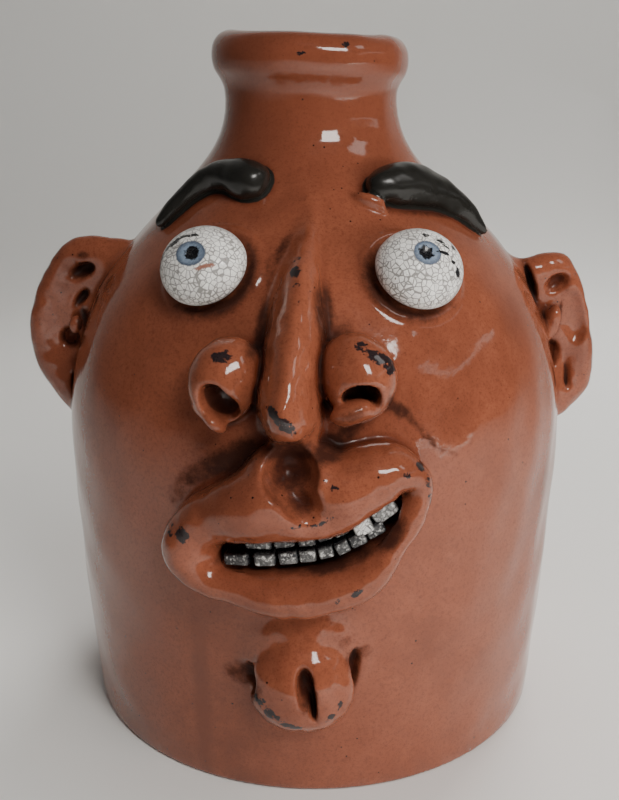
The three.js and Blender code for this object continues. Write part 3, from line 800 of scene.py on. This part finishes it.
# Rows of teeth lie along the mouth line; a few are grown by more offset, height and front
teeth = {
    "upper": {"count": 7, "from": 0.1, "to": 0.95, "offset": 2.5, "tall": 4.2, "share": 0.9, "front": 5.6},
    "lower": {"count": 8, "from": 0.03, "to": 0.87, "offset": -1.9, "tall": 3.6, "share": 0.95, "front": 7.2},
    "grown": {("upper", 5): (-1.6, 1.2, 1.8), ("upper", 6): (-1.6, 0.8, 1.0)},
    "root": -1.6, "boxy": 0.3, "seed": 5, "lineSteps": 400, "grid": (40, 56),
    "sizeSpread": 0.06, "setBack": (-0.5, 0.3), "turnSpread": 0.07, "paleSpread": 0.2,
    "pale": {("upper", 5): 0.7, ("upper", 6): 0.15},
}


# Chip of china: a ball drawn out to a box by a power of its parts, uneven in size and slant
def buildTooth(rowName, index, dice):
    row = dict(teeth[rowName])
    for name, more in zip(("offset", "tall", "front"), teeth["grown"].get((rowName, index), (0, 0, 0))):
        row[name] += more
    pitch = (row["to"] - row["from"]) / row["count"]
    share = row["from"] + (index + np.array([0, 0.5, 1])) * pitch
    line = spline(mouth["line"], teeth["lineSteps"] + 1)
    places = line[np.round(share * teeth["lineSteps"]).astype(int)]
    ends = onWall(places[:, 0], places[:, 1], row["front"])[0]
    spot = onWall(places[1, 0], places[1, 1])
    across = ends[2] - ends[0]
    slope = math.atan2(across @ spot[2], across @ spot[1])
    half = np.array([np.linalg.norm(across) * row["share"], row["tall"], row["front"] - teeth["root"]]) / 2
    half *= 1 + dice.uniform(-teeth["sizeSpread"], teeth["sizeSpread"], 3)
    boxed = (np.sign(part) * np.abs(part) ** teeth["boxy"] for part in ballGrid(*teeth["grid"]))
    x, y, z = (size * part for size, part in zip(half, boxed))
    y = y + row["offset"]
    z = z + (row["front"] + teeth["root"]) / 2 + dice.uniform(*teeth["setBack"])
    turn = slope + dice.uniform(-teeth["turnSpread"], teeth["turnSpread"])
    piece = ballPiece(f"china_{rowName}_{index + 1}", offSpot(spot, *turned(x, y, turn), z))
    pale = teeth["pale"].get((rowName, index), 0.0) + dice.uniform(0, teeth["paleSpread"])
    x, y, _ = partsAt(spot, pointsOf(piece.data))
    x, y = turned(x, y, -turn)
    rim = np.maximum(np.abs(x) / half[0], np.abs(y - row["offset"]) / half[1])
    setAttributes(piece.data, pale=np.full(len(rim), pale), rim=rim)
    return piece


toothDice = np.random.default_rng(teeth["seed"])
china = {(rowName, index): buildTooth(rowName, index, toothDice)
         for rowName in ("upper", "lower") for index in range(teeth[rowName]["count"])}
print("teeth set:", len(china))


# Short ways to add shader nodes: each returns the socket that carries its result; add, feed and cells the node
class Bench:
    def __init__(self, name):
        self.material = bpy.data.materials.new(name)
        self.material.use_nodes = True
        self.tree = self.material.node_tree
        self.shader = self.tree.nodes["Principled BSDF"]
        self.place = self.tree.nodes.new("ShaderNodeTexCoord").outputs["Object"]

    # sets values on a node's inputs, or links the sockets among them
    def feed(self, node, values):
        for name, value in values.items():
            if isinstance(value, bpy.types.NodeSocket):
                self.tree.links.new(value, node.inputs[name])
            elif value is not None:
                node.inputs[name].default_value = value
        return node

    def add(self, kind, values=None, **settings):
        node = self.tree.nodes.new("ShaderNode" + kind)
        for name, setting in settings.items():
            setattr(node, name, setting)
        return self.feed(node, values or {})

    def math(self, operation, *values):
        return self.add("Math", dict(enumerate(values)), operation=operation).outputs[0]

    # smooth rise from one value to another between low and high
    def ramp(self, value, low, high, toLow=0.0, toHigh=1.0):
        values = dict(enumerate((value, low, high, toLow, toHigh)))
        return self.add("MapRange", values, interpolation_type="SMOOTHSTEP").outputs[0]

    def mix(self, share, a, b):
        return self.add("Mix", {0: share, 6: a, 7: b}, data_type="RGBA").outputs[2]

    # colours of a set laid one over another, each by its own share
    def laid(self, colours, lowest, *layers):
        colour = colours[lowest]
        for share, name in layers:
            colour = self.mix(share, colour, colours[name])
        return colour

    def noise(self, size, detail=3.0, rough=0.55):      # size in millimetres
        values = {"Vector": self.place, "Scale": 1 / (size * mm), "Detail": detail, "Roughness": rough}
        return self.add("TexNoise", values).outputs["Fac"]

    # noise about zero
    def rag(self, *noise):
        return self.math("SUBTRACT", self.noise(*noise), 0.5)

    # value plus a share of an unevenness
    def torn(self, value, rag, share):
        return self.math("MULTIPLY_ADD", rag, share, value)

    def cells(self, size, feature="F1"):
        return self.add("TexVoronoi", {"Vector": self.place, "Scale": 1 / (size * mm)}, feature=feature)

    def attribute(self, name):
        return self.add("Attribute", attribute_name=name).outputs["Fac"]

    def bump(self, height, depth, strength, below=None):
        values = {"Strength": strength, "Distance": depth * mm, "Height": height, "Normal": below}
        return self.add("Bump", values).outputs["Normal"]


# Red clay under clear glaze: blotches of four sizes, iron specks, glaze that runs dark red into the hollows
# and black into the creases, darkened there with painted shade as well, then smudges of staining and painted
# shade, painted shade inside the nostrils' holes, flakes and the painted brows, each over the last by its own
# share
def redGlazeMaterial():
    b = Bench("redGlaze")
    blotch = b.noise(7, 5, 0.65)
    uneven = b.math("SUBTRACT", blotch, 0.5)
    rag, crumb, soot = b.rag(2.4, 5, 0.7), b.rag(1.3, 6, 0.75), b.attribute("flakes")
    speck = b.cells(2.6)
    size = b.ramp(speck.outputs["Color"], 0.45, 1.0, 0, 0.15)
    hollow = b.torn(b.attribute("hollow"), uneven, 0.12)
    crease = b.torn(b.attribute("crease"), uneven, 0.14)
    # smudges of staining and painted shade, the shade in creases, hollows and round the eyes and ears
    smears = b.torn(b.attribute("smears"), rag, 0.9)
    flakes = b.torn(soot, b.math("ADD", rag, crumb), b.ramp(soot, 0.0, 0.3, 0.0, 2.4))
    brow = b.ramp(b.torn(b.attribute("paint"), rag, 0.8), 1.1, 0.75)
    # painted shade inside the nostrils' holes
    within = b.math("MULTIPLY", b.ramp(b.attribute("hole"), 1.3, 0.5), b.ramp(hollow, 0.46, 0.56, 0, 0.7))
    colour = b.laid(
        redGlaze, "deep", (b.ramp(b.noise(34, 4), 0.15, 0.6), "clay"),
        (b.ramp(blotch, 0.42, 0.8, 0, 0.3), "bright"),
        (b.ramp(b.noise(1.1, 3, 0.6), 0.45, 0.75, 0, 0.55), "deep"),
        (b.ramp(b.noise(0.45, 2), 0.5, 0.8, 0, 0.55), "dark"),
        (b.attribute("thick"), "deep"),
        (b.ramp(b.math("SUBTRACT", size, speck.outputs["Distance"]), 0.0, 0.05), "smear"),
        # creases and hollows darkened partly as pooled glaze and partly as painted shade
        (b.ramp(hollow, 0.55, 0.72, 0, 0.8), "pooledRedAndShade"),
        (b.ramp(crease, 0.58, 0.74, 0, 0.9), "poolAndShade"), (within, "smear"),
        (b.ramp(smears, 0.15, 0.95, 0, 0.85), "smear"),
        (b.ramp(flakes, 0.42, 0.5, 0, 0.95), "flake"), (brow, "brow"))
    rough = b.math("ADD", b.ramp(blotch, 0.3, 0.8, 0.06, 0.13), b.ramp(crease, 0.55, 0.68, 0.0, 0.4))
    dull = b.math("MAXIMUM", b.ramp(smears, 0.15, 0.8), b.ramp(crease, 0.54, 0.64))
    b.feed(b.shader, {
        "Base Color": colour, "Roughness": b.math("MULTIPLY_ADD", brow, 0.16, rough),
        "Specular IOR Level": b.ramp(dull, 0, 1, 0.5, 0.08), "IOR": redGlaze["refraction"],
        "Normal": b.bump(b.noise(2.6, 3, 0.5), 0.12, 0.35, b.bump(b.noise(9, 3), 0.5, 0.2))})
    return b.material


crackle = {
    "white": (0.92, 0.90, 0.86, 1), "shade": (0.62, 0.60, 0.57, 1), "line": (0.11, 0.10, 0.09, 1),
    "iris": (0.190, 0.245, 0.325, 1), "irisRim": (0.070, 0.090, 0.130, 1), "black": (0.006, 0.006, 0.008, 1),
    "rust": (0.24, 0.07, 0.035, 1), "toothPale": (0.72, 0.71, 0.68, 1), "toothGrey": (0.04, 0.04, 0.042, 1),
}


# Net of cracks between cells of about this size, stronger in some places than in others
def crackNet(b, size, width):
    edge = b.cells(size, "DISTANCE_TO_EDGE").outputs["Distance"]
    loose = b.ramp(b.noise(4, 2), 0.3, 0.7, 0.5 * width, 1.4 * width)
    return b.ramp(b.math("DIVIDE", edge, loose), 1.3, 0.5)


# Colour and cracks on the shader: the cracks are sunk and rougher
def glazeOver(b, colour, lines, roughness):
    sunk = b.bump(b.math("SUBTRACT", 1.0, lines), 0.12, 0.5)
    b.feed(b.shader, {"Base Color": colour, "Roughness": b.ramp(lines, 0, 1, *roughness), "Normal": sunk})
    return b.material


# White crackle, with the iris, the pupil, flakes and rust laid over it
def whiteCrackleMaterial():
    b = Bench("whiteCrackle")
    rag = b.rag(0.9, 4, 0.65)
    lines = b.math("MAXIMUM", crackNet(b, 1.5, 0.09), b.math("MULTIPLY", crackNet(b, 0.75, 0.05), 0.3))
    iris = b.torn(b.attribute("iris"), rag, 0.22)
    pupil = b.torn(b.attribute("pupil"), rag, 3.0)
    flakes, rust = (b.torn(b.attribute(name), rag, 2.6) for name in ("flakes", "rust"))
    tint = b.mix(b.ramp(iris, 0.6, 1.0), crackle["iris"], crackle["irisRim"])
    colour = b.laid(
        dict(crackle, tint=tint), "white",
        (b.ramp(b.cells(1.5).outputs["Color"], 0.1, 0.9, 0.0, 0.4), "shade"),
        (b.ramp(b.noise(6, 4), 0.5, 0.8, 0, 0.5), "shade"),
        (b.math("MULTIPLY", lines, 0.8), "line"),
        (b.ramp(iris, 1.04, 0.94), "tint"),
        (b.ramp(pupil, 2.3, 1.7), "black"), (b.ramp(flakes, 0.5, 0.65), "black"),
        (b.ramp(rust, 0.4, 0.7, 0, 0.85), "rust"))
    return glazeOver(b, colour, lines, (0.1, 0.4))


# Grey crackle, paler in streaks and dark with dirt in the cracks and round the edge
def toothCrackleMaterial():
    b = Bench("toothCrackle")
    streak = b.ramp(b.noise(1.1, 4, 0.7), 0.5, 0.62, 0, 0.5)
    tone = b.ramp(b.cells(1.3).outputs["Color"], 0.2, 1.0, -0.05, 0.15)
    pale = b.math("ADD", b.math("ADD", b.attribute("pale"), streak), tone)
    lines = crackNet(b, 1.3, 0.05)
    edge = b.ramp(b.attribute("rim"), 0.7, 1.0, 0, 0.95)
    dirt = b.math("MAXIMUM", b.math("MULTIPLY", lines, 0.85), edge)
    colour = b.laid(crackle, "toothGrey", (b.ramp(pale, 0.0, 1.0), "toothPale"), (dirt, "black"))
    return glazeOver(b, colour, lines, (0.06, 0.3))


# Lays a glaze on a piece, and says what it rides on and which solids it stands for; the slot is not used
def dress(piece, material, slot, *nodes):
    piece.data.materials.clear()
    piece.data.materials.append(material)
    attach(piece, "root")
    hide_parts(*nodes)


dress(jugPiece, redGlazeMaterial(), "red_glaze", "jug_body")
eyeGlaze = whiteCrackleMaterial()
for side, piece in eyeBalls.items():
    dress(piece, eyeGlaze, "white_crackle", "eye_" + side)
toothGlaze = toothCrackleMaterial()
for (rowName, index), piece in china.items():
    dress(piece, toothGlaze, "tooth_crackle", f"tooth_{rowName}_{index + 1}")
print("glazes laid on")

studio = {
    "width": 30.0, "front": -15.0, "turnAt": 0.55, "turn": 0.5, "top": 6.0, "steps": 25,
    "paint": (0.84, 0.83, 0.80, 1), "rough": 0.7,
}


# Pale floor that turns up into a backdrop: a quarter round carried sideways
def buildStage():
    angle = np.linspace(0, np.pi / 2, studio["steps"])
    at, turn = studio["turnAt"], studio["turn"]
    y = np.concatenate([[studio["front"]], at + turn * np.sin(angle), [at + turn]])
    z = np.concatenate([[0], turn * (1 - np.cos(angle)), [studio["top"]]])
    x = np.array([-0.5, 0.5]) * studio["width"]
    points = np.stack(np.broadcast_arrays(x[None, :], y[:, None], z[:, None]), -1).reshape(-1, 3)
    row = np.arange(len(y) - 1) * 2
    stage = meshPiece("floor", points / mm, np.stack([row, row + 1, row + 3, row + 2], -1))
    paint = Bench("palePaint")
    paint.feed(paint.shader, {"Base Color": studio["paint"], "Roughness": studio["rough"]})
    stage.data.materials.append(paint.material)


buildStage()

# Camera in millimetres, looking along +Y and down; the focal length is in pixels of the 619 by 800 picture
view = {"place": (-1.6, -334.3, 204.5), "down": 17.86, "focalPixels": 1051, "tallPixels": 800, "sensor": 36}
# Lamps: place, target, size in metres, watts, colour, spread in degrees, whether the glaze mirrors them
lights = {
    "window": ((0.36, -0.70, 0.70), (0, 0, 0.12), (0.32, 0.2), 4.0, (1, 0.97, 0.93), 180, True),
    "farWindow": ((0.72, -0.30, 0.80), (0, 0, 0.16), (0.22, 0.22), 0.45, (1, 0.97, 0.94), 180, True),
    "strip": ((0.91, -0.25, 0.45), (0, 0, 0.13), (0.7, 0.04), 0.12, (1, 0.98, 0.95), 180, True),
    "rightWall": ((1.1, -0.9, 0.10), (0, 0, 0.05), (0.9, 0.3), 14.5, (1, 0.98, 0.95), 180, False),
    "leftWall": ((-1.2, -0.5, 0.3), (0, 0, 0.06), (0.8, 0.6), 0.5, (1, 0.98, 0.96), 180, False),
    "ceiling": ((0.1, 0.7, 1.4), (0, 0.1, 0.0), (1.2, 1.0), 6, (1, 0.98, 0.96), 180, False),
    "backWall": ((0.4, 0.8, 0.4), (0, 0, 0.1), (0.6, 0.5), 2.4, (1, 0.98, 0.96), 90, False),
    "floorLamp": ((0.25, -0.6, 0.8), (0.25, -0.6, 0), (0.5, 0.4), 2.6, (1, 0.98, 0.96), 110, False),
}
worldGlow = {"colour": (0.9, 0.92, 0.95, 1), "strength": 0.07}


# Camera whose focal length is the same share of the picture's height in pixels as of the sensor
def buildCamera():
    data = bpy.data.cameras.new("camera")
    data.sensor_width = view["sensor"]
    data.lens = view["focalPixels"] / view["tallPixels"] * view["sensor"]
    camera = newObject("camera", data)
    camera.location = [along * mm for along in view["place"]]
    camera.rotation_euler = (math.radians(90 - view["down"]), 0, 0)
    bpy.context.scene.camera = camera


# Lamps that look at their targets, and an even glow from all round
def buildLights():
    for name, (place, target, size, watts, colour, spread, mirrored) in lights.items():
        data = bpy.data.lights.new(name, "AREA")
        data.shape = "RECTANGLE"
        data.size, data.size_y = size
        data.energy = watts
        data.color = colour
        data.spread = math.radians(spread)
        lamp = newObject(name, data)
        lamp.visible_glossy = mirrored
        lamp.location = place
        lamp.rotation_euler = (Vector(target) - Vector(place)).to_track_quat("-Z", "Y").to_euler()
    world = bpy.data.worlds.new("studio")
    world.use_nodes = True
    glow = world.node_tree.nodes["Background"]
    glow.inputs["Color"].default_value = worldGlow["colour"]
    glow.inputs["Strength"].default_value = worldGlow["strength"]
    bpy.context.scene.world = world


buildCamera()
buildLights()
print("camera and lights set")
